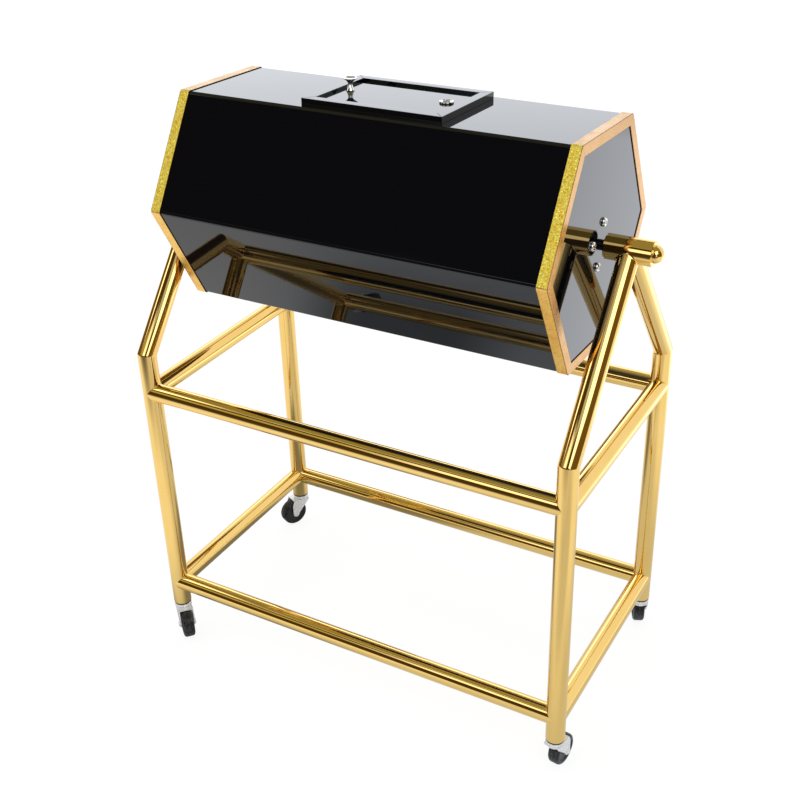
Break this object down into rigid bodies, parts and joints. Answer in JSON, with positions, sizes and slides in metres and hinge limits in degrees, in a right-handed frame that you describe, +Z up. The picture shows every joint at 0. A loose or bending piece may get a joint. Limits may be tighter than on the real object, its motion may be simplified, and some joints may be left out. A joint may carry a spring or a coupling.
{
  "type": "acrylic raffle drum on a rolling stand",
  "caption": "Six-sided black acrylic raffle drum with gold edge trim and a locking lid, turning between the A-frames of a gold tube stand on swivel casters.",
  "frame": {"origin": "on the floor under the middle of the stand", "axes": "+X along the drum's axle to the right-hand end, -Y to the front, +Z up"},
  "size_m": [0.8588, 0.4867, 1.0336],
  "materials": {
    "gold_tube": "mirror polished gold coating on steel tube",
    "black_acrylic": "high gloss cast acrylic sheet",
    "glitter_trim": "gold glitter on the facets, smooth gold on the ends",
    "chrome": "polished chrome plate",
    "zinc": "bright zinc plate",
    "wheel_black": "moulded, satin",
    "black_plastic": "matte",
    "black_steel": "black oxide, satin",
    "nylon": "plain nylon"
  },
  "bodies": {
    "stand": {"post_front_left": "gold_tube", "post_front_right": "gold_tube", "post_back_left": "gold_tube", "post_back_right": "gold_tube", "leg_front_left": "gold_tube", "leg_front_right": "gold_tube", "leg_back_left": "gold_tube", "leg_back_right": "gold_tube", "upper_rail_front": "gold_tube", "upper_rail_back": "gold_tube", "upper_rail_left": "gold_tube", "upper_rail_right": "gold_tube", "lower_rail_front": "gold_tube", "lower_rail_back": "gold_tube", "lower_rail_left": "gold_tube", "lower_rail_right": "gold_tube", "sleeve_left": "gold_tube", "dome_cap_left": "gold_tube", "sleeve_right": "gold_tube", "dome_cap_right": "gold_tube", "bushes": "nylon", "post_plugs": "black_plastic", "caster_stem_front_left": "zinc", "caster_stem_front_right": "zinc", "caster_stem_back_left": "zinc", "caster_stem_back_right": "zinc"},
    "drum": {"facet_top": "black_acrylic", "facet_front_upper": "black_acrylic", "facet_front_lower": "black_acrylic", "facet_bottom": "black_acrylic", "facet_back_lower": "black_acrylic", "facet_back_upper": "black_acrylic", "end_panel_left": "black_acrylic", "end_panel_right": "black_acrylic", "trim_left": "glitter_trim", "trim_right": "glitter_trim", "axle_left": "black_steel", "axle_right": "black_steel", "flange_bolts": "chrome", "flange_nuts": "chrome", "door_frame": "black_acrylic"},
    "lid": {"lid": "black_acrylic", "lock_barrel": "chrome", "lock_nut": "chrome"},
    "knob": {"lid_knob": "chrome", "knob_latch": "zinc"},
    "lock": {"lock_plug": "chrome", "lock_cam": "zinc"},
    "swivel_front_left": {"caster_fork_front_left": "zinc", "caster_axle_front_left": "zinc"},
    "wheel_front_left": {"caster_wheel_front_left": "wheel_black"},
    "swivel_front_right": {"caster_fork_front_right": "zinc", "caster_axle_front_right": "zinc"},
    "wheel_front_right": {"caster_wheel_front_right": "wheel_black"},
    "swivel_back_left": {"caster_fork_back_left": "zinc", "caster_axle_back_left": "zinc"},
    "wheel_back_left": {"caster_wheel_back_left": "wheel_black"},
    "swivel_back_right": {"caster_fork_back_right": "zinc", "caster_axle_back_right": "zinc"},
    "wheel_back_right": {"caster_wheel_back_right": "wheel_black"}
  },
  "joints": [
    {"name": "drum_turn", "type": "hinge", "parent": "stand", "child": "drum", "pos_m": [0, 0, 0.84], "axis": [1, 0, 0], "continuous": true},
    {"name": "lid_lift", "type": "slide", "parent": "drum", "child": "lid", "axis": [0, 0.0436, 0.999], "range_m": [0, 0.06]},
    {"name": "knob_turn", "type": "hinge", "parent": "lid", "child": "knob", "pos_m": [-0.087, 0.01259, 1.01362], "axis": [0, 0.0436, 0.999], "range_deg": [0, 90]},
    {"name": "lock_turn", "type": "hinge", "parent": "lid", "child": "lock", "pos_m": [0.079, 0.01259, 1.01362], "axis": [0, -0.0436, -0.999], "range_deg": [0, 90]},
    {"name": "swivel_front_left", "type": "hinge", "parent": "stand", "child": "swivel_front_left", "pos_m": [-0.38, -0.202, 0.058], "axis": [0, 0, 1], "continuous": true},
    {"name": "roll_front_left", "type": "hinge", "parent": "swivel_front_left", "child": "wheel_front_left", "pos_m": [-0.36453, -0.21545, 0.027], "axis": [0.6561, 0.7547, 0], "continuous": true},
    {"name": "swivel_front_right", "type": "hinge", "parent": "stand", "child": "swivel_front_right", "pos_m": [0.38, -0.202, 0.058], "axis": [0, 0, 1], "continuous": true},
    {"name": "roll_front_right", "type": "hinge", "parent": "swivel_front_right", "child": "wheel_front_right", "pos_m": [0.3825, -0.18165, 0.027], "axis": [-0.9925, 0.1219, 0], "continuous": true},
    {"name": "swivel_back_left", "type": "hinge", "parent": "stand", "child": "swivel_back_left", "pos_m": [-0.38, 0.202, 0.058], "axis": [0, 0, 1], "continuous": true},
    {"name": "roll_back_left", "type": "hinge", "parent": "swivel_back_left", "child": "wheel_back_left", "pos_m": [-0.38899, 0.18357, 0.027], "axis": [0.8988, -0.4384, 0], "continuous": true},
    {"name": "swivel_back_right", "type": "hinge", "parent": "stand", "child": "swivel_back_right", "pos_m": [0.38, 0.202, 0.058], "axis": [0, 0, 1], "continuous": true},
    {"name": "roll_back_right", "type": "hinge", "parent": "swivel_back_right", "child": "wheel_back_right", "pos_m": [0.37166, 0.22073, 0.027], "axis": [-0.9135, -0.4067, 0], "continuous": true}
  ]
}
